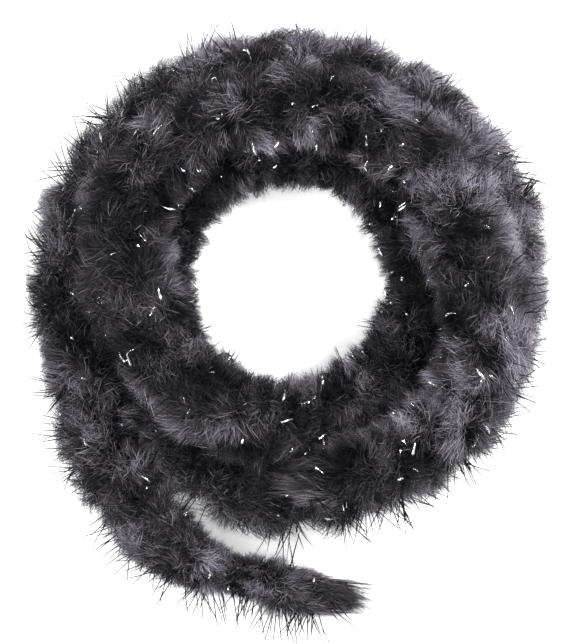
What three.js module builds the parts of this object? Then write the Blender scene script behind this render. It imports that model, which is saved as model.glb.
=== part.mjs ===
// A marabou feather boa laid out flat: a two-yard rope of fluffy plumes bound to a cord, wound into a
// loose coil of nearly three turns, with its first end left out as a short tail.
//
// Millimetres, +Z up. The boa rests on the plane z = 0. The origin is below the middle of its outline.
// Distances along the boa are measured from the tail's end.

import * as THREE from "three";

// ---- Driving dimensions ----
const BOA_LENGTH = 1830;
const SLEEVE_RADIUS = 18.5; // from the cord's centre to the flats of the packed plumes
const SLEEVE_SIDES = 12;
const BORE_SIDES = 8;
const BANK_COUNT = 28; // banks of plumes in the coil, without the two in the tail
const BANK_GAP = 0.4;
const BANK_STEPS = 3;

const CORE_DIAMETER = 4;
const THREAD_DIAMETER = 1;
const LUREX_DIAMETER = 0.8;
const STRAND_CLEARANCE = 0.6; // between the cord and the thread or the lurex beside it
const BORE_CLEARANCE = 1.9; // round the cord and the thread, inside a bank
const TUBE_SIDES = 8;
const TUBE_STEP = 22; // longest straight facet of a tube that follows the coil
const TUBE_GAP = 0.3;

const COIL_TURNS = 2.81;
const STRAND_GAP = 2; // between the flats of neighbouring turns
const COIL_POINTS_PER_TURN = 24;

const SWING_AT = 118; // distance of the hinge where the tail leaves the coil
const BEND_AT = 66; // distance of the hinge at the tail's thin place
const NECK_WALL = 2.5; // a bank's end beside a hinge, round its bore
const NECK_REACH = 16; // how far from a hinge the plumes are full again
const BANK_HINGE_GAP = 4; // from a hinge's axis to a bank
const CORD_HINGE_GAP = 1.5; // from a hinge's axis to the end of a tube

const KNOT_LENGTH = 8;
const KNOT_RADIUS = 4.4;
const WHIPPING_LENGTH = 5;
const WHIPPING_WALL = 1;
const WHIPPING_CLEARANCE = 0.4; // round the cord and the thread, inside a whipping
const WHIPPING_GAP = 0.6; // from a whipping to the knot and to the bank on each side of it

// ---- The route of the boa's centre line ----
const STRAND_PITCH = 2 * SLEEVE_RADIUS + STRAND_GAP;
const COIL_START_ANGLE = 200; // degrees round from +X, where the tail joins the coil
const NEST_ANGLE = 30; // how far over a turn has rolled when it lies in the groove between two others
const END_LEAN_ANGLE = 12; // how far over the last stretch leans, off the top of the outer turn

// Turns are counted from the coil's start.
const SHIFT_IN = [0.82, 1.0]; // the outer turn moves in to become the inner one
const CLIMB = [1.7, 1.94]; // the inner turn climbs on to the strand that has moved in below it
const ROLL_OUT = [2.0, 2.15]; // it rolls off into the groove between the two lower turns
const ROLL_UP = [2.5, 2.65]; // it rolls up on to the outer turn
const ROLL_BACK = [2.7, 2.79]; // and leans back a little towards the hole, as far as its end

// The tail from its end to the coil: the angle round the coil in degrees, how far outside the outer turn
// as a share of the strand pitch, and the height of its centre line as a share of the full sleeve radius,
// which is also how full its plumes are.
const TAIL_POINTS = [
  [282.4, 1.59, 0.48],
  [279.2, 1.52, 0.6],
  [275.5, 1.44, 0.7],
  [271.4, 1.36, 0.76],
  [267.1, 1.27, 0.76],
  [263.1, 1.22, 0.7],
  [259.3, 1.2, 0.66],
  [255.2, 1.19, 0.76],
  [250.8, 1.15, 0.9],
  [245.8, 1.06, 0.98],
  [240.4, 0.92, 1],
  [233.9, 0.75, 1],
  [227.3, 0.58, 1],
  [221.1, 0.44, 1],
  [215, 0.31, 1],
  [207.8, 0.15, 1],
];

function smoothShare(turn, [start, end]) {
  return THREE.MathUtils.smoothstep(turn, start, end);
}

function polarPoint(degrees, radius, height) {
  const angle = THREE.MathUtils.degToRad(degrees);
  return new THREE.Vector3(radius * Math.cos(angle), radius * Math.sin(angle), height);
}

// The coil's centre line after a number of turns: how far outside the inner turn it runs, and its height.
function coilPlace(turn) {
  const floor = SLEEVE_RADIUS;
  const nest = THREE.MathUtils.degToRad(NEST_ANGLE);
  if (turn < ROLL_OUT[0]) {
    const outside = STRAND_PITCH * (1 - smoothShare(turn, SHIFT_IN));
    return [outside, floor + STRAND_PITCH * smoothShare(turn, CLIMB)];
  }
  if (turn < ROLL_UP[0]) {
    const roll = nest * smoothShare(turn, ROLL_OUT);
    return [STRAND_PITCH * Math.sin(roll), floor + STRAND_PITCH * Math.cos(roll)];
  }
  const lean = THREE.MathUtils.degToRad(END_LEAN_ANGLE) * smoothShare(turn, ROLL_BACK);
  const roll = nest * (1 - smoothShare(turn, ROLL_UP)) + lean;
  return [STRAND_PITCH * (1 - Math.sin(roll)), floor + STRAND_PITCH * Math.cos(roll)];
}

function makeRoute(innerTurnRadius) {
  const outerTurnRadius = innerTurnRadius + STRAND_PITCH;
  const points = TAIL_POINTS.map(([degrees, outside, fullness]) =>
    polarPoint(degrees, outerTurnRadius + outside * STRAND_PITCH, fullness * SLEEVE_RADIUS),
  );
  const count = Math.round(COIL_TURNS * COIL_POINTS_PER_TURN);
  for (let i = 0; i <= count; i++) {
    const turn = (i / count) * COIL_TURNS;
    const [outside, height] = coilPlace(turn);
    points.push(polarPoint(COIL_START_ANGLE - 360 * turn, innerTurnRadius + outside, height));
  }
  const curve = new THREE.CatmullRomCurve3(points);
  curve.arcLengthDivisions = 4000;
  return curve;
}

// The inner turn's radius is the one that takes up the boa's whole length in its turns and tail.
function fitRoute() {
  let radius = BOA_LENGTH / (2 * Math.PI * COIL_TURNS) - STRAND_PITCH;
  let curve = makeRoute(radius);
  for (let pass = 0; pass < 12; pass++) {
    radius += (BOA_LENGTH - curve.getLength()) / (2 * Math.PI * COIL_TURNS);
    curve = makeRoute(radius);
  }
  return curve;
}

const route = fitRoute();
const up = new THREE.Vector3(0, 0, 1);

// The centre of the boa at a distance from the tail's end, with the directions along, to its left and up.
function frameAt(distance) {
  const share = THREE.MathUtils.clamp(distance / BOA_LENGTH, 0, 1);
  const centre = route.getPointAt(share);
  const along = route.getTangentAt(share);
  const side = new THREE.Vector3().crossVectors(up, along).normalize();
  const top = new THREE.Vector3().crossVectors(along, side);
  return { centre, along, side, top };
}

// A stretch of the route, moved sideways and up from the centre line.
class RouteStretch extends THREE.Curve {
  constructor(start, end, across, above) {
    super();
    this.start = start;
    this.end = end;
    this.across = across;
    this.above = above;
  }
  getPoint(share, target = new THREE.Vector3()) {
    const { centre, side, top } = frameAt(THREE.MathUtils.lerp(this.start, this.end, share));
    return target.copy(centre).addScaledVector(side, this.across).addScaledVector(top, this.above);
  }
  // Even steps along the centre line, so that strands side by side bend at the same places.
  getUtoTmapping(share) {
    return share;
  }
}

// ---- Shapes ----

const BUNDLE_RADIUS = CORE_DIAMETER / 2 + STRAND_CLEARANCE + THREAD_DIAMETER;
const BORE_RADIUS = BUNDLE_RADIUS + BORE_CLEARANCE;
const NECK_RADIUS = BORE_RADIUS + NECK_WALL;

// How full the plumes are: they rest on the floor in the tail, so there the centre's height is their
// radius, and they narrow to a neck at each hinge.
function sleeveRadius(distance) {
  let radius = Math.min(SLEEVE_RADIUS, frameAt(distance).centre.z);
  for (const hinge of [SWING_AT, BEND_AT]) {
    const away = Math.abs(distance - hinge) - BANK_HINGE_GAP;
    const share = THREE.MathUtils.clamp(away / (NECK_REACH - BANK_HINGE_GAP), 0, 1);
    radius = Math.min(radius, THREE.MathUtils.lerp(NECK_RADIUS, SLEEVE_RADIUS, share));
  }
  return radius;
}

// A regular polygon with one side facing straight down.
function polygon(Path, flatRadius, sides) {
  const corner = flatRadius / Math.cos(Math.PI / sides);
  const outline = new Path();
  for (let i = 0; i < sides; i++) {
    const angle = (2 * Math.PI * (i + 0.5)) / sides - Math.PI / 2;
    const x = corner * Math.cos(angle);
    const y = corner * Math.sin(angle);
    if (i === 0) outline.moveTo(x, y);
    else outline.lineTo(x, y);
  }
  outline.closePath();
  return outline;
}

// Bends a straight piece, modelled along +Z with +Y up, on to the route. Its outer wall takes the
// thickness of the plumes where it comes to lie, and its bore keeps its size.
function layOnRoute(geometry, start) {
  const position = geometry.getAttribute("position");
  for (let i = 0; i < position.count; i++) {
    const distance = start + position.getZ(i);
    const { centre, side, top } = frameAt(distance);
    const inOuterWall = Math.hypot(position.getX(i), position.getY(i)) > 1.2 * BORE_RADIUS;
    const size = inOuterWall ? sleeveRadius(distance) / SLEEVE_RADIUS : 1;
    centre.addScaledVector(side, position.getX(i) * size).addScaledVector(top, position.getY(i) * size);
    position.setXYZ(i, centre.x, centre.y, centre.z);
  }
  geometry.computeVertexNormals();
  return geometry;
}

function bankGeometry(start, end) {
  const section = polygon(THREE.Shape, SLEEVE_RADIUS, SLEEVE_SIDES);
  section.holes.push(polygon(THREE.Path, BORE_RADIUS, BORE_SIDES));
  const options = { depth: end - start, steps: BANK_STEPS, bevelEnabled: false };
  return layOnRoute(new THREE.ExtrudeGeometry(section, options), start);
}

function tubeGeometry(start, end, diameter, across = 0, above = 0) {
  const section = new THREE.Shape().absarc(0, 0, diameter / 2, 0, 2 * Math.PI);
  return new THREE.ExtrudeGeometry(section, {
    extrudePath: new RouteStretch(start, end, across, above),
    steps: Math.ceil((end - start) / TUBE_STEP),
    curveSegments: TUBE_SIDES / 2, // a full circle takes twice as many
    bevelEnabled: false,
  });
}

// A turned piece on the cord, from a profile of [radius, distance along] points.
function turnedGeometry(profile, start) {
  const points = profile.map(([radius, along]) => new THREE.Vector2(radius, along));
  const geometry = new THREE.LatheGeometry(points, TUBE_SIDES);
  geometry.rotateX(Math.PI / 2);
  geometry.rotateZ(Math.PI / TUBE_SIDES);
  return layOnRoute(geometry, start);
}

function knotGeometry(start) {
  const waist = 0.8 * KNOT_RADIUS;
  return turnedGeometry(
    [
      [0, 0],
      [0.55 * KNOT_RADIUS, 0],
      [KNOT_RADIUS, 0.25 * KNOT_LENGTH],
      [waist, 0.5 * KNOT_LENGTH],
      [KNOT_RADIUS, 0.75 * KNOT_LENGTH],
      [0.55 * KNOT_RADIUS, KNOT_LENGTH],
      [0, KNOT_LENGTH],
    ],
    start,
  );
}

function whippingGeometry(start) {
  const inner = (BUNDLE_RADIUS + WHIPPING_CLEARANCE) / Math.cos(Math.PI / TUBE_SIDES);
  const outer = inner + WHIPPING_WALL;
  return turnedGeometry(
    [
      [inner, 0],
      [outer, 0],
      [outer, WHIPPING_LENGTH],
      [inner, WHIPPING_LENGTH],
      [inner, 0],
    ],
    start,
  );
}

// ---- Materials ----
const marabou = { color: 0x2b292e, roughness: 0.92, metalness: 0 };
const cotton = { color: 0x17161a, roughness: 0.9, metalness: 0 };
const polyester = { color: 0x1c1b20, roughness: 0.6, metalness: 0 };
const foil = { color: 0xd9dbe0, roughness: 0.22, metalness: 1 };

// ---- The assembly ----
const boa = new THREE.Group();

function addPiece(name, geometry, finish) {
  const mesh = new THREE.Mesh(geometry, new THREE.MeshStandardMaterial(finish));
  mesh.name = name;
  boa.add(mesh);
}

// The stretch between the two end knots is divided by the two hinges.
const firstEnd = KNOT_LENGTH;
const lastEnd = BOA_LENGTH - KNOT_LENGTH;
const STRETCHES = [
  { name: "tail_tip", start: firstEnd, end: BEND_AT },
  { name: "tail_root", start: BEND_AT, end: SWING_AT },
  { name: "coil", start: SWING_AT, end: lastEnd },
];

// The cord, the thread and the lurex run side by side from knot to knot.
const threadOffset = (CORE_DIAMETER + THREAD_DIAMETER) / 2 + STRAND_CLEARANCE;
const lurexOffset = (CORE_DIAMETER + LUREX_DIAMETER) / 2 + STRAND_CLEARANCE;
for (const { name, start, end } of STRETCHES) {
  const from = start + (start === firstEnd ? TUBE_GAP : CORD_HINGE_GAP);
  const to = end - (end === lastEnd ? TUBE_GAP : CORD_HINGE_GAP);
  addPiece("core_cord_" + name, tubeGeometry(from, to, CORE_DIAMETER), cotton);
  addPiece("binding_thread_" + name, tubeGeometry(from, to, THREAD_DIAMETER, 0, threadOffset), polyester);
  addPiece("lurex_strand_" + name, tubeGeometry(from, to, LUREX_DIAMETER, lurexOffset, 0), foil);
}

// A knot at each end of the cord, and a whipping next to it that keeps the first plumes on.
addPiece("tail_knot", knotGeometry(0), cotton);
addPiece("tail_whipping", whippingGeometry(firstEnd + WHIPPING_GAP), polyester);
addPiece("end_whipping", whippingGeometry(lastEnd - WHIPPING_GAP - WHIPPING_LENGTH), polyester);
addPiece("end_knot", knotGeometry(lastEnd), cotton);

// The plumes, bank after bank: one in each stretch of the tail, the rest in the coil.
const endRoom = WHIPPING_LENGTH + 2 * WHIPPING_GAP;
addPiece("tail_tip_plumes", bankGeometry(firstEnd + endRoom, BEND_AT - BANK_HINGE_GAP), marabou);
addPiece("tail_root_plumes", bankGeometry(BEND_AT + BANK_HINGE_GAP, SWING_AT - BANK_HINGE_GAP), marabou);
const coilStart = SWING_AT + BANK_HINGE_GAP;
const bankPitch = (lastEnd - endRoom - coilStart) / BANK_COUNT;
for (let i = 0; i < BANK_COUNT; i++) {
  const start = coilStart + i * bankPitch;
  const name = "plume_bank_" + String(i + 1).padStart(2, "0");
  addPiece(name, bankGeometry(start, start + bankPitch - BANK_GAP), marabou);
}

// The origin goes below the middle of the outline.
const outline = new THREE.Box3().setFromObject(boa);
const middle = outline.getCenter(new THREE.Vector3());
boa.position.set(-middle.x, -middle.y, -outline.min.z);

export default boa;
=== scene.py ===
"""A marabou feather boa, two yards long, wound flat in a loose coil with its end left out as a tail."""

import math

import bmesh
import bpy
import numpy as np
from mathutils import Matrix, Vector


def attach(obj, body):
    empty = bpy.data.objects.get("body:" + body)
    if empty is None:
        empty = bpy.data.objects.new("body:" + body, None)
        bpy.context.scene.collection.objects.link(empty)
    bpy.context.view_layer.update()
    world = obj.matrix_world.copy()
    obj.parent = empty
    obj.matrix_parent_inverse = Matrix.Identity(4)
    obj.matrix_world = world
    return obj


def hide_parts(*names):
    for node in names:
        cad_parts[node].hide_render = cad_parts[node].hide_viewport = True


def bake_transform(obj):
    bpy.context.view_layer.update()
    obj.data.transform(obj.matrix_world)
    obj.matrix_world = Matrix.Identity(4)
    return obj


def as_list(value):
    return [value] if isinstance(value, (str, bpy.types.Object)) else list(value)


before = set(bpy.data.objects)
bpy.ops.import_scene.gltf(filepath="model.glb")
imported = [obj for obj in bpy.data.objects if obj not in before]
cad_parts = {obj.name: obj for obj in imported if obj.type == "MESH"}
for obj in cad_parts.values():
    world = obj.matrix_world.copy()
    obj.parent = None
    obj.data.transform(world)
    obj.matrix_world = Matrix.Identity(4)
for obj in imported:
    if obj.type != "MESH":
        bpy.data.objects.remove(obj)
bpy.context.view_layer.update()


# ---------------------------------------------------------------------------------------------
# Camera: straight above the boa, with the tail at the foot of the view. It stands well back, so
# that the upper turn looks no bigger than the lower ones.
# ---------------------------------------------------------------------------------------------
camera_height = 1.7
view_middle = (0.0022, 0.0050)
view_long_side = 0.3385
view_plane = 0.035
camera_data = bpy.data.cameras.new("camera")
camera_data.sensor_width = 36.0
camera_data.lens = camera_data.sensor_width * (camera_height - view_plane) / view_long_side
camera = bpy.data.objects.new("camera", camera_data)
camera.location = (*view_middle, camera_height)
camera_data.clip_start = 0.05
camera_data.clip_end = 10.0
bpy.context.scene.collection.objects.link(camera)
bpy.context.scene.camera = camera


# ---------------------------------------------------------------------------------------------
# Table and light: a white sheet lit from beneath, one big soft lamp low on the right, a weaker
# one above on the left, and an even white room.
# ---------------------------------------------------------------------------------------------
bpy.context.scene.view_settings.view_transform = "Standard"
bpy.context.scene.view_settings.look = "None"


def soft_lamp(name, place, target, size, power):
    data = bpy.data.lights.new(name, "AREA")
    data.shape = "SQUARE"
    data.size = size
    data.energy = power
    lamp = bpy.data.objects.new(name, data)
    lamp.location = place
    aim = Vector(target) - Vector(place)
    lamp.rotation_mode = "QUATERNION"
    lamp.rotation_quaternion = aim.to_track_quat("-Z", "Y")
    bpy.context.scene.collection.objects.link(lamp)


boa_middle = (0.0, 0.0, 0.03)
soft_lamp("key_lamp", (0.8, 0.35, 0.8), boa_middle, 0.4, 20.0)
soft_lamp("fill_lamp", (-0.8, -0.2, 0.7), boa_middle, 0.9, 14.0)

world = bpy.data.worlds.new("white_room")
world.use_nodes = True
room_light = world.node_tree.nodes["Background"]
room_light.inputs["Color"].default_value = (1.0, 1.0, 1.0, 1.0)
room_light.inputs["Strength"].default_value = 0.65
bpy.context.scene.world = world

table_half_side = 3.0
table_mesh = bpy.data.meshes.new("table")
table_form = bmesh.new()
bmesh.ops.create_grid(table_form, x_segments=2, y_segments=2, size=table_half_side)
table_form.to_mesh(table_mesh)
table_form.free()
table = bpy.data.objects.new("table", table_mesh)
bpy.context.scene.collection.objects.link(table)
paper = bpy.data.materials.new("white_paper")
paper.use_nodes = True
paper_shader = paper.node_tree.nodes["Principled BSDF"]
paper_shader.inputs["Base Color"].default_value = (0.93, 0.93, 0.93, 1.0)
paper_shader.inputs["Roughness"].default_value = 0.9
paper_shader.inputs["Specular IOR Level"].default_value = 0.1
paper_shader.inputs["Emission Color"].default_value = (1.0, 1.0, 1.0, 1.0)
paper_shader.inputs["Emission Strength"].default_value = 0.5
table_mesh.materials.append(paper)


# ---------------------------------------------------------------------------------------------
# The boa's route: where its cord lies, from the tail's end to the coil's inner end. Nearly three
# turns, wound from the outside in on the table and then back out on top of themselves.
# ---------------------------------------------------------------------------------------------
MM = 0.001
boa_length = 1830.0
sleeve_radius = 18.5
strand_pitch = 39.0
inner_turn_radius = 70.8939
coil_turns = 2.81
coil_start_angle = 200.0
coil_centre = np.array([-0.0883, 24.9667, 0.0])
points_per_turn = 24
nest_angle = 30.0
end_lean_angle = 12.0

# The tail from its end to the coil: degrees round the coil, how far outside the outer turn as a
# share of the strand pitch, and the cord's height as a share of the full sleeve radius.
tail_points = [
    (282.4, 1.59, 0.48),
    (279.2, 1.52, 0.6),
    (275.5, 1.44, 0.7),
    (271.4, 1.36, 0.76),
    (267.1, 1.27, 0.76),
    (263.1, 1.22, 0.7),
    (259.3, 1.2, 0.66),
    (255.2, 1.19, 0.76),
    (250.8, 1.15, 0.9),
    (245.8, 1.06, 0.98),
    (240.4, 0.92, 1.0),
    (233.9, 0.75, 1.0),
    (227.3, 0.58, 1.0),
    (221.1, 0.44, 1.0),
    (215.0, 0.31, 1.0),
    (207.8, 0.15, 1.0),
]


def smooth_share(turn, start, end):
    share = min(max((turn - start) / (end - start), 0.0), 1.0)
    return share * share * (3 - 2 * share)


def coil_place(turn):
    """How far outside the inner turn the cord runs after this many turns, and its height."""
    if turn < 2.0:
        outside = strand_pitch * (1 - smooth_share(turn, 0.82, 1.0))
        return outside, sleeve_radius + strand_pitch * smooth_share(turn, 1.7, 1.94)
    if turn < 2.5:
        roll = math.radians(nest_angle) * smooth_share(turn, 2.0, 2.15)
        return strand_pitch * math.sin(roll), sleeve_radius + strand_pitch * math.cos(roll)
    roll = math.radians(nest_angle) * (1 - smooth_share(turn, 2.5, 2.65))
    roll += math.radians(end_lean_angle) * smooth_share(turn, 2.7, 2.79)
    return strand_pitch * (1 - math.sin(roll)), sleeve_radius + strand_pitch * math.cos(roll)


def polar_point(degrees, radius, height):
    angle = math.radians(degrees)
    return coil_centre + (radius * math.cos(angle), radius * math.sin(angle), height)


outer_turn_radius = inner_turn_radius + strand_pitch
route_points = [
    polar_point(degrees, outer_turn_radius + outside * strand_pitch, height * sleeve_radius)
    for degrees, outside, height in tail_points
]
coil_steps = round(coil_turns * points_per_turn)
for step in range(coil_steps + 1):
    turn = step / coil_steps * coil_turns
    outside, height = coil_place(turn)
    route_points.append(polar_point(coil_start_angle - 360 * turn, inner_turn_radius + outside, height))


def smooth_line(points, steps):
    """A centripetal Catmull-Rom line through the points."""
    points = np.array(points)
    points = np.vstack([2 * points[0] - points[1], points, 2 * points[-1] - points[-2]])
    line = []
    for before, start, end, after in zip(points, points[1:], points[2:], points[3:]):
        gaps = [math.sqrt(np.linalg.norm(b - a)) for a, b in ((before, start), (start, end), (end, after))]
        leave = (start - before) / gaps[0] - (end - before) / (gaps[0] + gaps[1]) + (end - start) / gaps[1]
        arrive = (end - start) / gaps[1] - (after - start) / (gaps[1] + gaps[2]) + (after - end) / gaps[2]
        leave, arrive = leave * gaps[1], arrive * gaps[1]
        t = np.linspace(0, 1, steps, endpoint=False)[:, None]
        line.append(
            start + leave * t + (3 * (end - start) - 2 * leave - arrive) * t**2
            + (2 * (start - end) + leave + arrive) * t**3
        )
    return np.vstack([*line, points[-2][None]])


steps_between_points = 48
route_line = smooth_line(route_points, steps_between_points)
route_distance = np.concatenate([[0], np.cumsum(np.linalg.norm(np.diff(route_line, axis=0), axis=1))])
route_distance *= boa_length / route_distance[-1]
route_along = np.gradient(route_line, route_distance, axis=0)
route_along /= np.linalg.norm(route_along, axis=1)[:, None]
route_side = np.cross([0.0, 0.0, 1.0], route_along)
route_side /= np.linalg.norm(route_side, axis=1)[:, None]
route_top = np.cross(route_along, route_side)


def on_route(table_of_vectors, distance):
    return np.stack([np.interp(distance, route_distance, table_of_vectors[:, k]) for k in range(3)], axis=-1)


def centre_at(distance):
    return on_route(route_line, np.asarray(distance, float))


def lay_on_route(places):
    """Straight places (to the left, up, distance from the tail's end), all in mm, as places in the frame."""
    distance = places[..., 2]
    inside = np.clip(distance, 0, boa_length)
    centre = centre_at(inside) + on_route(route_along, inside) * (distance - inside)[..., None]
    side, top = on_route(route_side, inside), on_route(route_top, inside)
    return centre + side * places[..., 0:1] + top * places[..., 1:2]


def add_object(name, mesh, material):
    mesh.materials.append(material)
    piece = bpy.data.objects.new(name, mesh)
    bpy.context.scene.collection.objects.link(piece)
    return piece


def lay_form(name, form, material):
    """A straight bmesh, in mm along +Z, bent on to the route as a finished piece."""
    places = np.array([v.co for v in form.verts])
    for vertex, place in zip(form.verts, lay_on_route(places) * MM):
        vertex.co = place
    bmesh.ops.recalc_face_normals(form, faces=form.faces)
    mesh = bpy.data.meshes.new(name)
    form.to_mesh(mesh)
    form.free()
    mesh.shade_smooth()
    return add_object(name, mesh, material)


# The boa's three moving stretches, as distances from the tail's end.
bend_at = 66.0
tail_cut = 92.0
coil_cut = 150.0


def follow(piece, middle):
    """The piece stays where it lies if the given distance is short of the coil's cut, or moves with the
    coil.
    """
    if middle < tail_cut:
        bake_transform(piece)
    elif middle < coil_cut:
        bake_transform(piece)
    else:
        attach(piece, "coil")


# ---------------------------------------------------------------------------------------------
# Core cord: one black cotton cord from knot to knot, three plies laid up together, 4 mm thick.
# It is soft dyed yarn, so the plies are dull with a slightly paler crown.
# ---------------------------------------------------------------------------------------------
ply_radius = 1.12
ply_offset = 1.05
ply_sides = 6
ply_step = 2.0
ply_count = 3
ply_twist_length = 16.0
knot_length = 8.0


def yarn_material(name, dark, pale, roughness):
    material = bpy.data.materials.new(name)
    material.use_nodes = True
    nodes, links = material.node_tree.nodes, material.node_tree.links
    shader = nodes["Principled BSDF"]
    shader.inputs["Roughness"].default_value = roughness
    shader.inputs["Sheen Weight"].default_value = 0.05
    place = nodes.new("ShaderNodeTexCoord")
    fibres = nodes.new("ShaderNodeTexNoise")
    fibres.inputs["Scale"].default_value = 1800.0
    fibres.inputs["Detail"].default_value = 3.0
    tint = nodes.new("ShaderNodeValToRGB")
    tint.color_ramp.elements[0].position = 0.35
    tint.color_ramp.elements[0].color = (*dark, 1.0)
    tint.color_ramp.elements[1].position = 0.7
    tint.color_ramp.elements[1].color = (*pale, 1.0)
    links.new(place.outputs["Object"], fibres.inputs["Vector"])
    links.new(fibres.outputs["Fac"], tint.inputs["Fac"])
    links.new(tint.outputs["Color"], shader.inputs["Base Color"])
    return material


cotton = yarn_material("black_cotton", (0.006, 0.006, 0.007), (0.03, 0.028, 0.032), 0.9)


def drawn_out(name, start, end, radius, sides, step, strands, path, material):
    """Strands drawn along the boa as one piece: each is a long tube whose middle follows its own path."""
    form = bmesh.new()
    long = end - start
    bmesh.ops.create_cone(form, cap_ends=True, segments=sides, radius1=radius, radius2=radius, depth=long)
    long_edges = [e for e in form.edges if abs(e.verts[0].co.z - e.verts[1].co.z) > 0.01]
    bmesh.ops.subdivide_edges(form, edges=long_edges, cuts=max(int(long / step), 4), use_grid_fill=True)
    bench_space = 100.0
    for strand in range(1, strands):
        first = [f for f in form.faces if f.calc_center_median().x < bench_space / 2]
        copy = bmesh.ops.duplicate(form, geom=first)
        moved = [v for v in copy["geom"] if isinstance(v, bmesh.types.BMVert)]
        bmesh.ops.translate(form, verts=moved, vec=(bench_space * strand, 0, 0))
    places = np.array([v.co for v in form.verts])
    strand = np.round(places[:, 0] / bench_space)
    places[:, 0] -= bench_space * strand
    places[:, 2] += (start + end) / 2
    middle = path(places[:, 2], strand)
    for vertex, place in zip(form.verts, places + np.stack([*middle, np.zeros(len(places))], axis=1)):
        vertex.co = place
    return lay_form(name, form, material)


def plied(distance, strand):
    """Where a ply's middle lies, as the plies are laid up round each other."""
    angle = 2 * math.pi * (distance / ply_twist_length + strand / ply_count)
    return ply_offset * np.cos(angle), ply_offset * np.sin(angle)


core_stretches = [
    ("core_cord_tail", knot_length, tail_cut, "core_cord_tail_tip"),
    ("core_cord_bend", tail_cut, coil_cut, "core_cord_tail_root"),
    ("core_cord_ring", coil_cut, boa_length - knot_length, "core_cord_coil"),
]
for name, start, end, node in core_stretches:
    piece = drawn_out(name, start, end, ply_radius, ply_sides, ply_step, ply_count, plied, cotton)
    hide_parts(node)
    follow(piece, (start + end) / 2)


# ---------------------------------------------------------------------------------------------
# Knots: each end of the core cord is tied in a tight overhand knot, so the plumes can't slip off. The same
# cord, drawn down hard.
# ---------------------------------------------------------------------------------------------
knot_cord_radius = 1.35
knot_cord_sides = 10
knot_steps = 72
knot_spread, knot_crossing, knot_lift = 1.45, 0.85, 1.15
knot_stretch = 1.35


def overhand_knot(name, start, node, body):
    """A trefoil of the cord pulled tight, over the first or last millimetres of the boa."""
    form = bmesh.new()
    bmesh.ops.create_circle(form, cap_ends=False, radius=knot_cord_radius, segments=knot_cord_sides)
    hoop = 4.0
    bmesh.ops.spin(
        form, geom=form.edges[:], cent=(hoop, 0, 0), axis=(0, 1, 0), dvec=(0, 0, 0), angle=2 * math.pi,
        steps=knot_steps, use_merge=True, use_duplicate=False,
    )
    bmesh.ops.remove_doubles(form, verts=form.verts, dist=0.001)
    for vertex in form.verts:
        around = math.atan2(vertex.co.z, hoop - vertex.co.x)
        out = math.hypot(vertex.co.x - hoop, vertex.co.z) - hoop
        reach = knot_spread + knot_crossing * math.cos(3 * around)
        radial = Vector((math.cos(2 * around), math.sin(2 * around), 0))
        lift = knot_lift * math.sin(3 * around) + vertex.co.y
        vertex.co = radial * (reach + out) + Vector((0, 0, lift))
        vertex.co.z = start + knot_length / 2 + vertex.co.z * knot_stretch
    piece = lay_form(name, form, cotton)
    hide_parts(node)
    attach(piece, body)
    return piece


tail_knot = overhand_knot("tail_end_knot", 0.0, "tail_knot", "tail_tip")
ring_knot = overhand_knot("ring_end_knot", boa_length - knot_length, "end_knot", "coil")

for name, start, end, node in core_stretches:
    on_it = {"core_cord_tail": [tail_knot], "core_cord_ring": [ring_knot]}.get(name, [])
    tail_piece = name == "core_cord_tail"
    path = centre_at(np.linspace(end, start, 60) if tail_piece else np.linspace(start, end, 600)) * MM
    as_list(on_it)


# ---------------------------------------------------------------------------------------------
# Marabou plumes: short turkey down, dyed charcoal black. Each plume is a soft shaft with long
# fine barbs that part into locks, and here and there its stiff black quill tip stands out. The
# plumes are bound on so closely that only the outer half of each one shows.
# ---------------------------------------------------------------------------------------------
plume_reach = 21.4
underdown_radius = 13.5
locks_per_bank = 310
barbs_per_lock = 44
wisps_per_bank = 2600
quills_per_bank = 84
barb_levels = np.array([0.0, 0.55, 1.0])
barb_widths = np.array([0.20, 0.19, 0.0])
quill_levels = np.array([0.0, 0.35, 0.7, 1.0])
quill_taper = np.array([1.0, 0.95, 0.8, 0.3])
quill_root = 12.0
quill_section = 0.35 * np.array([(1.0, 0.0), (-0.5, 0.87), (-0.5, -0.87)])
bank_count = 28
first_plumes = 14.2
bank_start = 122.0
bank_pitch = (boa_length - first_plumes - bank_start) / bank_count


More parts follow.
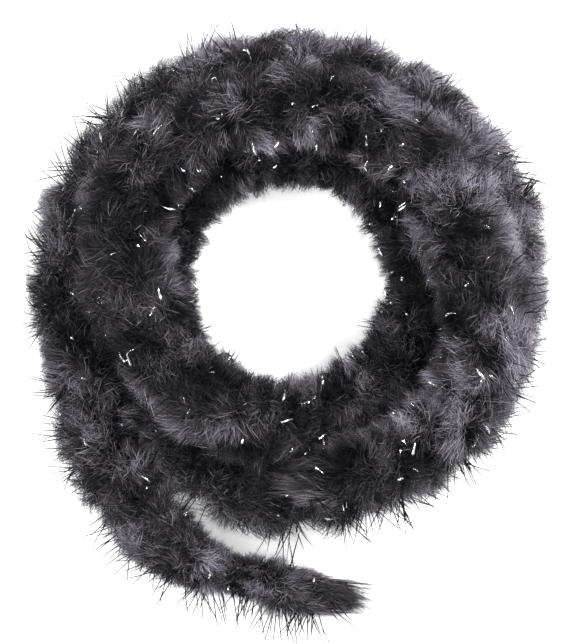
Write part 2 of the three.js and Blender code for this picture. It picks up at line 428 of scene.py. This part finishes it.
def down_material():
    """Dull charcoal down: nearly black at the root, paler and slightly violet at the tips."""
    material = bpy.data.materials.new("charcoal_marabou")
    material.use_nodes = True
    nodes, links = material.node_tree.nodes, material.node_tree.links
    shader = nodes["Principled BSDF"]
    shader.inputs["Roughness"].default_value = 0.7
    shader.inputs["Specular IOR Level"].default_value = 0.04
    shader.inputs["Sheen Weight"].default_value = 0.015
    shader.inputs["Sheen Roughness"].default_value = 0.4
    barb = nodes.new("ShaderNodeUVMap")
    barb.uv_map = "OFBake"
    split = nodes.new("ShaderNodeSeparateXYZ")
    along = nodes.new("ShaderNodeValToRGB")
    # This ramp turns each barb's tone into its grey; the tone holds both its random dyed grey and painted
    # light and shade.
    dye_and_light_ramp = nodes.new("ShaderNodeValToRGB")
    root_to_tip = ((0.0, 0.07), (0.35, 0.3), (0.7, 0.85), (1.0, 1.0))
    dark_to_pale = ((0.0, 0.010), (0.35, 0.042), (0.6, 0.095), (0.8, 0.21), (1.0, 0.55))
    for ramp, stops, colour in ((along, root_to_tip, (1, 1, 1)), (dye_and_light_ramp, dark_to_pale, (1, 0.94, 1.12))):
        for place, share in stops:
            first_or_last = {0.0: 0, 1.0: -1}.get(place)
            elements = ramp.color_ramp.elements
            stop = elements.new(place) if first_or_last is None else elements[first_or_last]
            stop.color = (share * colour[0], share * colour[1], share * colour[2], 1.0)
    mix = nodes.new("ShaderNodeMix")
    mix.data_type = "RGBA"
    mix.blend_type = "MULTIPLY"
    mix.inputs["Factor"].default_value = 1.0
    links.new(barb.outputs["UV"], split.inputs["Vector"])
    links.new(split.outputs["X"], dye_and_light_ramp.inputs["Fac"])
    links.new(split.outputs["Y"], along.inputs["Fac"])
    links.new(dye_and_light_ramp.outputs["Color"], mix.inputs["A"])
    links.new(along.outputs["Color"], mix.inputs["B"])
    links.new(mix.outputs["Result"], shader.inputs["Base Color"])
    return material


marabou = down_material()


def fullness(distance):
    """How full the plumes are: the tail thins towards its end and is nipped in at its soft place."""
    share = np.clip(centre_at(distance)[..., 2] / sleeve_radius, 0, 1)
    share = np.where(distance > 215, 1.0, share)
    nip = 1 - 0.10 * np.exp(-(((distance - bend_at) / 13) ** 2))
    thin = 0.86 + 0.14 * np.clip((distance - 90) / 60, 0, 1)
    end = np.clip((boa_length - distance) / 45, 0, 1)
    return share * nip * thin * (0.62 + 0.38 * end**0.5)


def drift(random, waves, shortest, longest):
    """A smooth random pattern over the boa's surface, from -1 to 1 or so."""
    lengths = random.uniform(shortest, longest, waves)
    rounds = random.integers(-3, 4, waves)
    phases = random.uniform(0, 2 * math.pi, waves)

    def pattern(distance, angle):
        total = np.zeros(np.shape(distance))
        for length, around, phase in zip(lengths, rounds, phases):
            total = total + np.sin(2 * math.pi * distance / length + around * angle + phase)
        return total / math.sqrt(waves / 2) / 1.4

    return pattern


whole_boa = np.random.default_rng(11)
lie_drift = drift(whole_boa, 8, 30, 120)
comb_drift = drift(whole_boa, 8, 40, 160)
lump_drift = drift(whole_boa, 12, 13, 45)
shade_drift = drift(whole_boa, 12, 30, 140)


def unit(vectors):
    return vectors / np.maximum(np.linalg.norm(vectors, axis=-1, keepdims=True), 1e-9)


def settle(places):
    """Down that would go through the table is pressed flat on it; the top and sides keep in bounds."""
    rest, lid, lid_give = 4.5, 82.5, 0.35
    sides, side_press = np.array([138.0, 164.0]), 0.6
    low, high = places[..., 2] < rest, places[..., 2] > lid
    places[..., 2] = np.where(low, rest * np.exp((places[..., 2] - rest) / rest), places[..., 2])
    places[..., 2] = np.where(high, lid + lid_give * (places[..., 2] - lid), places[..., 2])
    beyond = np.maximum(np.abs(places[..., :2]) - sides, 0)
    places[..., :2] -= np.sign(places[..., :2]) * side_press * beyond
    return places


def ribbons(lines, widths, facing, levels):
    """A flat strip along each line, which ends in a point: its corners, faces and corner levels."""
    half = unit(np.cross(np.gradient(lines, axis=1), facing)) * widths[..., None] / 2
    pairs = np.stack([(lines - half)[:, :-1], (lines + half)[:, :-1]], axis=2)
    corners = np.concatenate([pairs.reshape(len(lines), -1, 3), lines[:, -1:]], axis=1)
    last = 2 * len(levels) - 4
    faces = [(2 * k, 2 * k + 1, 2 * k + 3, 2 * k + 2) for k in range(len(levels) - 2)]
    return corners, [*faces, (last, last + 1, last + 2)], np.repeat(levels, 2)[: last + 3]


def tubes(lines, section, scales, facing, levels):
    """A closed tube along each line: its corners, faces and corner levels."""
    across = unit(np.cross(np.gradient(lines, axis=1), facing))
    outward = unit(np.cross(across, np.gradient(lines, axis=1)))
    sides, rings = len(section), lines.shape[1]
    corners = [lines + (across * x + outward * y) * scales[None, :, None] for x, y in section]
    corners = np.stack(corners, axis=2).reshape(len(lines), -1, 3)
    faces = [
        (r * sides + s, r * sides + (s + 1) % sides, (r + 1) * sides + (s + 1) % sides, (r + 1) * sides + s)
        for r in range(rings - 1)
        for s in range(sides)
    ]
    ends = [tuple(range(sides))[::-1], tuple(range((rings - 1) * sides, rings * sides))]
    return corners, [*faces, *ends], np.repeat(levels, sides)


lowest_down = 0.05


def joined_mesh(name, groups):
    """One mesh of several groups of copies. A group is (corners, faces, levels) and its copies' tones."""
    places, loops, sizes, u, v, count = [], [], [], [], [], 0
    for (corners, faces, levels), tones in groups:
        copies, per = corners.shape[:2]
        pattern = np.concatenate([np.array(face) for face in faces])
        loops.append((np.arange(copies)[:, None] * per + pattern[None]).ravel() + count)
        sizes.append(np.tile([len(face) for face in faces], copies))
        u.append(np.repeat(tones, len(pattern)))
        v.append(np.tile(levels[pattern], copies))
        places.append(corners.reshape(-1, 3))
        count += copies * per
    places, loops, sizes = np.vstack(places), np.concatenate(loops), np.concatenate(sizes)
    places[:, 2] = np.maximum(places[:, 2], lowest_down)
    mesh = bpy.data.meshes.new(name)
    mesh.vertices.add(len(places))
    mesh.vertices.foreach_set("co", (places * MM).astype(np.float32).ravel())
    mesh.loops.add(len(loops))
    mesh.loops.foreach_set("vertex_index", loops.astype(np.int32))
    mesh.polygons.add(len(sizes))
    mesh.polygons.foreach_set("loop_start", np.concatenate([[0], np.cumsum(sizes)[:-1]]).astype(np.int32))
    mesh.update(calc_edges=True)
    tone_and_level = np.stack([np.concatenate(u), np.concatenate(v)], axis=1).astype(np.float32)
    mesh.uv_layers.new(name="OFBake").data.foreach_set("uv", tone_and_level.ravel())
    mesh.shade_smooth()
    return mesh


underdown_sides = 20
underdown_step = 3.5


def underdown(start, end):
    """The packed down round the shafts, which fills the middle and lets no light through."""
    form = bmesh.new()
    long = end - start
    cuts = max(int(long / underdown_step), 3)
    bmesh.ops.create_cone(form, cap_ends=True, segments=underdown_sides, radius1=1, radius2=1, depth=long)
    sides = [e for e in form.edges if abs(e.verts[0].co.z - e.verts[1].co.z) > 1]
    bmesh.ops.subdivide_edges(form, edges=sides, cuts=cuts, use_grid_fill=True)
    places = np.array([v.co for v in form.verts])
    faces = [tuple(v.index for v in f.verts) for f in form.faces]
    form.free()
    places[:, 2] += (start + end) / 2
    angle = np.arctan2(places[:, 1], places[:, 0])
    room = outside(places[:, 2], angle)
    lumps = 1 + 0.08 * lump_drift(places[:, 2], angle)
    radius = (underdown_radius + 0.5 * room) * fullness(places[:, 2]) * lumps
    places[:, :2] *= radius[:, None]
    return settle(lay_on_route(places))[None], faces, np.full(len(places), 0.02)


def off_the_cord(radius, angle, distance):
    """Straight places at these radii from the cord's middle and angles round it."""
    return np.stack([radius * np.cos(angle), radius * np.sin(angle), distance], axis=-1)


def bearing_of(distance, angle):
    """The direction from the coil's middle, in radians, and how far out it is, in mm."""
    spot = lay_on_route(off_the_cord(np.full(len(distance), plume_reach), angle, distance)) - coil_centre
    return np.arctan2(spot[:, 1], spot[:, 0]), np.hypot(spot[:, 0], spot[:, 1])


def near(bearing, degrees, width):
    """1 at this bearing, falling smoothly to 0 some way either side of it."""
    away = (bearing - math.radians(degrees) + math.pi) % (2 * math.pi) - math.pi
    return np.exp(-((away / math.radians(width)) ** 2))


def outside(distance, angle):
    """How much further the plumes spread, in mm, facing away from the coil's hole or into it."""
    bearing, _ = bearing_of(distance, angle)
    spread = 4.5 + 9.0 * near(bearing, 20, 42) + 5.0 * near(bearing, 178, 22) - 5.5 * near(bearing, 295, 28)
    spread = (spread + 3.0 * lump_drift(distance, angle)) * np.clip((distance - 100) / 60, 0.4, 1)
    crowded = -3.8 * near(bearing, 75, 50)
    return np.where(np.cos(angle) > 0, spread, -crowded) * np.cos(angle)


# Places seen from above, as degrees round the coil's middle, mm out from it and mm across: where the plumes
# part, stand lower and get painted shade, and where a painted sheen makes them pale.
parted_shaded_spots = [(153, 78, 9), (37, 73, 10), (31, 134, 8), (285, 119, 10), (258, 88, 6), (118, 70, 9), (200, 84, 8)]
painted_sheen_spots = [(28, 112, 18), (6, 124, 17), (318, 104, 13), (304, 98, 11), (62, 118, 12)]
painted_sheen_spots += [(148, 62, 8), (228, 118, 13)]


def patches(distance, angle, places):
    """1 in the middle of each patch, falling smoothly to 0 outside it."""
    bearing, out = bearing_of(distance, angle)
    total = np.zeros(np.shape(distance))
    for degrees, middle_out, across in places:
        away = np.hypot(out - middle_out, middle_out * 2 * np.sin((bearing - math.radians(degrees)) / 2))
        total += np.exp(-((away / across) ** 2))
    return total


def painted_light_and_shade(distance, angle):
    """Painted light and shade: paler round the outside, most so on the right towards the key lamp, and
    darkest inside on the left.
    """
    bearing, out = bearing_of(distance, angle)
    far_out = np.clip((out - 85) / 28, 0, 1)
    # Painted light on the low outer turns, which lie in the upper turn's shadow, and painted sheen on the
    # listed spots.
    low = np.clip((38 - centre_at(distance)[:, 2]) / 18, 0, 1)
    painted_side_light = 0.21 * far_out * near(bearing, 12, 70) - 0.06 * (1 - far_out) * near(bearing, 140, 50)
    painted_rim_light = np.clip((out - 112) / 14, 0, 1)
    return painted_side_light + 0.09 * painted_rim_light + 0.05 * far_out * low + 0.14 * patches(distance, angle, painted_sheen_spots)


# Closer to a knot than end_lie, the plumes lie out over the boa's end. A lock's barbs stand within
# lock_ground of its middle.
golden_angle = 2.39996
dye_tone = 0.40
end_lie = 24.0
lock_ground = 4.6


def held_in(radius, limit):
    """A radius that grows more slowly past a limit."""
    return np.where(radius > limit, limit + 0.4 * (radius - limit), radius)


def plumes(name, start, end, seed):
    """All the barbs and quill tips of the plumes bound between two distances, as one piece."""
    random = np.random.default_rng(seed)
    share = (end - start) / bank_pitch
    locks = int(locks_per_bank * share)
    placed = (np.arange(locks) + random.random(locks)) / locks
    placed = placed**1.3 if start == first_plumes else placed
    distance = start + placed * (end - start)
    angle = (np.arange(locks) * golden_angle + random.uniform(-0.4, 0.4, locks)) % (2 * math.pi)

    # Each lock lies over to one side, more or less as its neighbours do, and covers the next.
    comb = math.pi * comb_drift(distance, angle) + random.normal(0, 0.7, locks)
    lie = np.clip(0.9 + 0.35 * lie_drift(distance, angle) + random.normal(0, 0.3, locks), 0.1, 2.0)
    from_tail, from_end = distance - first_plumes, boa_length - first_plumes - distance
    comb = np.where(from_tail < end_lie, math.pi + random.normal(0, 0.35, locks), comb)
    comb = np.where(from_end < end_lie, random.normal(0, 0.35, locks), comb)
    # Where the plumes part, the locks stand lower and their tone gets painted shade.
    parting_and_shade = patches(distance, angle, parted_shaded_spots)
    uneven = np.where(np.cos(angle) < -0.4, 0.12, 0.05)
    height = 1 + 0.075 * lump_drift(distance, angle) + random.normal(0, 1, locks) * uneven - 0.14 * parting_and_shade
    # Tone: a smooth random drift, plus painted light and shade, as locks that stand higher are painted paler
    # and lower ones darker.
    tone = dye_tone + 0.22 * shade_drift(distance, angle) + 1.1 * (height - 1)
    tone += random.normal(0, 0.05, locks) - 0.12 * parting_and_shade
    gather = random.uniform(-0.25, 0.5, locks) + np.where(np.cos(angle) < -0.4, 0.5, 0.0)
    # Painted light and shade by place over the coil, and a darker tone over the last 30 mm at the coil's
    # inner end.
    tone += painted_light_and_shade(distance, angle) - 0.16 * np.clip(1 - from_end / 30, 0, 1)

    spray = (9 + 24 * random.random(locks) ** 1.8) * np.where(from_end < end_lie, 0.9, 1.0)

    # The barbs stand over the lock's own ground, outwards first and then over with the lock.
    barbs = locks * barbs_per_lock
    wisps = int(wisps_per_bank * share)
    wisp_lock = random.integers(0, locks // 3, wisps) * 3
    lock = np.concatenate([np.repeat(np.arange(locks), barbs_per_lock), wisp_lock])
    total = barbs + wisps
    is_wisp = np.arange(total) >= barbs
    ground = lock_ground * np.sqrt(random.random(total))
    bearing = random.uniform(0, 2 * math.pi, total)
    off_along, off_round = ground * np.cos(bearing), ground * np.sin(bearing)
    at = np.clip(distance[lock] + off_along, first_plumes, boa_length - first_plumes)
    full = fullness(at)
    depth = random.random(total) ** 0.6
    room = outside(at, angle[lock])
    foot_radius = (np.where(is_wisp, 15.0, 8.5 + 7.5 * depth) + 0.55 * room) * full
    tip_radius = (plume_reach + room) * full * height[lock]
    tip_radius *= 0.87 + 0.15 * depth + random.normal(0, 0.05, total)
    tip_radius += np.where(is_wisp, np.abs(random.normal(1.0, 2.6, total)) * (0.8 + 0.1 * room), 0.0)
    tip_radius = held_in(tip_radius, 28.0)
    beyond = np.clip(1 - np.minimum(from_tail, from_end)[lock] / end_lie, 0, 1)
    tip_radius = tip_radius * (1 - beyond) + beyond * foot_radius * random.uniform(0.0, 1.2, locks)[lock]
    spin = angle[lock] + off_round / 15
    rise = np.maximum(tip_radius - foot_radius, 2.5 * full - 12 * beyond)
    sideways = np.minimum(np.abs(rise) * lie[lock] * random.uniform(0.7, 1.4, total), 10.5 * full)
    sideways = np.where(is_wisp, 0.6 * sideways, sideways)
    sideways = sideways * (1 - beyond) + beyond * (spray[lock] + random.normal(0, 2.0, total))
    aim = comb[lock] + random.normal(0, 0.6, total) * (1 - 0.6 * beyond)
    run_along = np.cos(aim) * sideways - gather[lock] * off_along
    run_round = np.sin(aim) * sideways - gather[lock] * off_round
    t = barb_levels[None, :]
    up = 1.35 * t - 0.35 * t**2.6
    over = t**1.45
    frizz = random.normal(0, 0.55, (3, total, len(barb_levels))) * t * (1 - 0.4 * t)
    radius = foot_radius[:, None] + rise[:, None] * up + frizz[0]
    turn = spin[:, None] + (run_round[:, None] * over + frizz[1]) / np.maximum(radius, 3)
    along = at[:, None] + run_along[:, None] * over + frizz[2]
    lines = settle(lay_on_route(off_the_cord(radius, turn, along)))
    widths = barb_widths[None, :] * random.uniform(0.5, 1.3, total)[:, None]
    widths = np.where(is_wisp[:, None], widths * 0.5, widths)
    tones = tone[lock] + random.normal(0, 0.17, total)
    tones += np.where(random.random(total) < 0.10, 0.25, 0.0)
    tones = np.clip(np.where(is_wisp, tones + 0.20, tones), 0.01, 0.99)
    down = ribbons(lines, widths, random.normal(0, 1, (total, 1, 3)), barb_levels)

    # Quill tips: stiff, nearly straight and black, a few side by side from each plume.
    quills = int(quills_per_bank * share)
    plume = np.arange(quills) // 4 * 4
    at = random.uniform(start, end, quills)[plume] + random.normal(0, 2.0, quills)
    faces_out = random.random(quills) < 0.6
    turned = np.where(faces_out, random.normal(0.1, 0.75, quills), random.uniform(-3.1, 3.1, quills))
    around = turned[plume] + random.normal(0, 0.10, quills)
    full, room = fullness(at), outside(at, around)
    free = np.where((np.cos(around) > -0.25) | (at < 150), 1.0, 0.4)
    aim = random.uniform(0, 2 * math.pi, quills)[plume] + random.normal(0, 0.35, quills)
    stand = (plume_reach + 0.5 * room) * full + random.uniform(3.0, 22.0, quills) * free
    stand = held_in(stand, 36.0)
    slant = random.uniform(0.05, 0.75, quills)
    t = quill_levels[None, :]
    rise = (stand - quill_root * full)[:, None] * t
    side = slant[:, None] * rise + random.normal(0, 0.9, quills)[:, None] * t**2
    radius = quill_root * full[:, None] + rise
    turn = around[:, None] + np.sin(aim)[:, None] * side / radius
    lines = settle(lay_on_route(off_the_cord(radius, turn, at[:, None] + np.cos(aim)[:, None] * side)))
    spikes = tubes(lines, quill_section, quill_taper, random.normal(0, 1, (quills, 1, 3)), quill_levels)
    groups = [
        (down, tones),
        (spikes, np.full(quills, 0.02)),
        (underdown(start, end), np.array([0.4])),
    ]
    return add_object(name, joined_mesh(name, groups), marabou)


plume_pieces = [
    ("marabou_tail", first_plumes, tail_cut, ["tail_tip_plumes", "tail_root_plumes"]),
    ("marabou_bend", tail_cut, bank_start + bank_pitch, ["plume_bank_01"]),
]
for bank in range(1, bank_count):
    start = bank_start + bank * bank_pitch
    number = f"{bank + 1:02d}"
    plume_pieces.append(("marabou_" + number, start, start + bank_pitch, ["plume_bank_" + number]))
for seed, (name, start, end, nodes) in enumerate(plume_pieces):
    piece = plumes(name, start, end, 100 + seed)
    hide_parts(*nodes)
    follow(piece, min((start + end) / 2, end - 40))


# ---------------------------------------------------------------------------------------------
# Lurex: a strand of slit metal film that runs along the cord, with loops of it drawn out through
# the plumes. The film twists, so a loop shows only as a short row of bright flecks.
# ---------------------------------------------------------------------------------------------
film_section = np.array([(-0.7, -0.04), (0.7, -0.04), (0.7, 0.04), (-0.7, 0.04)])
loops_per_bank = 15
loop_levels = np.linspace(0, 1, 21)
lurex_material = bpy.data.materials.new("silver_lurex")
lurex_material.use_nodes = True
lurex_shader = lurex_material.node_tree.nodes["Principled BSDF"]
lurex_shader.inputs["Base Color"].default_value = (0.96, 0.96, 0.98, 1.0)
lurex_shader.inputs["Metallic"].default_value = 1.0
lurex_shader.inputs["Roughness"].default_value = 0.16


def lurex_piece(name, start, end, seed):
    random = np.random.default_rng(seed)
    distance = np.arange(start, end, 2.5)
    angle = 2 * math.pi * distance / 34
    line = lay_on_route(off_the_cord(np.full(len(distance), 3.9), angle, distance))[None]
    facing = lay_on_route(off_the_cord(np.full(len(distance), 9.0), angle, distance))[None] - line
    strand = tubes(line, film_section * 0.6, np.ones(len(distance)), facing, np.zeros(len(distance)))

    loops = int(loops_per_bank * (end - start) / bank_pitch * (0.6 if start < coil_cut else 1.0))
    t = loop_levels[None, :]
    at = random.uniform(start + 4, end - 4, loops)
    around = random.uniform(0, 2 * math.pi, loops)
    aim = random.uniform(0, 2 * math.pi, loops)
    span = 2.0 + 9.0 * random.random(loops) ** 2
    full = fullness(at)
    crown = ((plume_reach + random.uniform(-2.5, 2.0, loops)) * full)[:, None]
    waves = random.uniform(0.6, 1.5, loops)[:, None]
    radius = 3.5 + (crown - 3.5) * np.minimum(np.sin(math.pi * t) * 1.9, 1.0) ** 0.8
    radius += 0.3 * np.sin(2 * math.pi * waves * t + at[:, None]) * np.sin(math.pi * t)
    side = (span * full)[:, None] * (t - 0.5)
    turn = around[:, None] + np.sin(aim)[:, None] * side / np.maximum(radius, 6)
    along = np.clip(at[:, None] + np.cos(aim)[:, None] * side, start, end)
    lines = settle(lay_on_route(off_the_cord(radius, turn, along)))
    outward = lay_on_route(off_the_cord(radius + 5, turn, along)) - lines
    twist = random.uniform(0, math.pi, loops)[:, None]
    twist = twist + 2 * math.pi * random.uniform(0.1, 0.6, loops)[:, None] * t
    across = unit(np.cross(np.gradient(lines, axis=1), outward))
    facing = unit(outward) * np.cos(twist)[..., None] + across * np.sin(twist)[..., None]
    drawn = tubes(lines, film_section, np.ones(len(loop_levels)), facing, loop_levels)
    groups = [(strand, np.zeros(1)), (drawn, np.zeros(loops))]
    return add_object(name, joined_mesh(name, groups), lurex_material)


lurex_stretches = [
    ("lurex_tail", first_plumes, tail_cut, "lurex_strand_tail_tip"),
    ("lurex_bend", tail_cut, coil_cut, "lurex_strand_tail_root"),
    ("lurex_ring", coil_cut, boa_length - first_plumes, "lurex_strand_coil"),
]
for seed, (name, start, end, node) in enumerate(lurex_stretches):
    piece = lurex_piece(name, start, end, 40 + seed)
    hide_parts(node)
    follow(piece, (start + end) / 2)


# ---------------------------------------------------------------------------------------------
# Binding thread: black sewing thread wound round the cord and the quills from end to end, and a
# close whipping of the same thread beside each knot that keeps the first plumes on.
# ---------------------------------------------------------------------------------------------
thread_diameter = 0.9
wind_radius = 3.1
wind_pitch = 7.0
whipping_turns = 5
thread_material = yarn_material("black_thread", (0.008, 0.008, 0.009), (0.04, 0.038, 0.042), 0.7)
thread_section = thread_diameter / 2 * np.array(
    [(math.cos(2 * math.pi * k / 6), math.sin(2 * math.pi * k / 6)) for k in range(6)]
)


def wound_thread(name, start, end, pitch, radius):
    turns = (end - start) / pitch
    distance = np.linspace(start, end, int(turns * 10))
    angle = 2 * math.pi * distance / pitch
    line = lay_on_route(off_the_cord(np.full(len(distance), radius), angle, distance))[None]
    facing = lay_on_route(off_the_cord(np.full(len(distance), radius + 5), angle, distance))[None] - line
    wound = tubes(line, thread_section, np.ones(len(distance)), facing, np.zeros(len(distance)))
    return add_object(name, joined_mesh(name, [(wound, np.zeros(1))]), thread_material)


thread_pieces = [
    ("thread_tail", first_plumes, tail_cut, "binding_thread_tail_tip"),
    ("thread_bend", tail_cut, coil_cut, "binding_thread_tail_root"),
    ("thread_ring", coil_cut, boa_length - first_plumes, "binding_thread_coil"),
]
for name, start, end, node in thread_pieces:
    piece = wound_thread(name, start, end, wind_pitch, wind_radius)
    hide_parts(node)
    follow(piece, (start + end) / 2)

whippings = [
    ("tail_end_whipping", knot_length + 0.8, "tail_whipping", "tail_tip"),
    ("ring_end_whipping", boa_length - knot_length - 5.4, "end_whipping", "coil"),
]
for name, start, node, body in whippings:
    turn_pitch = thread_diameter * 1.02
    piece = wound_thread(name, start, start + whipping_turns * turn_pitch, turn_pitch, wind_radius)
    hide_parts(node)
    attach(piece, body)
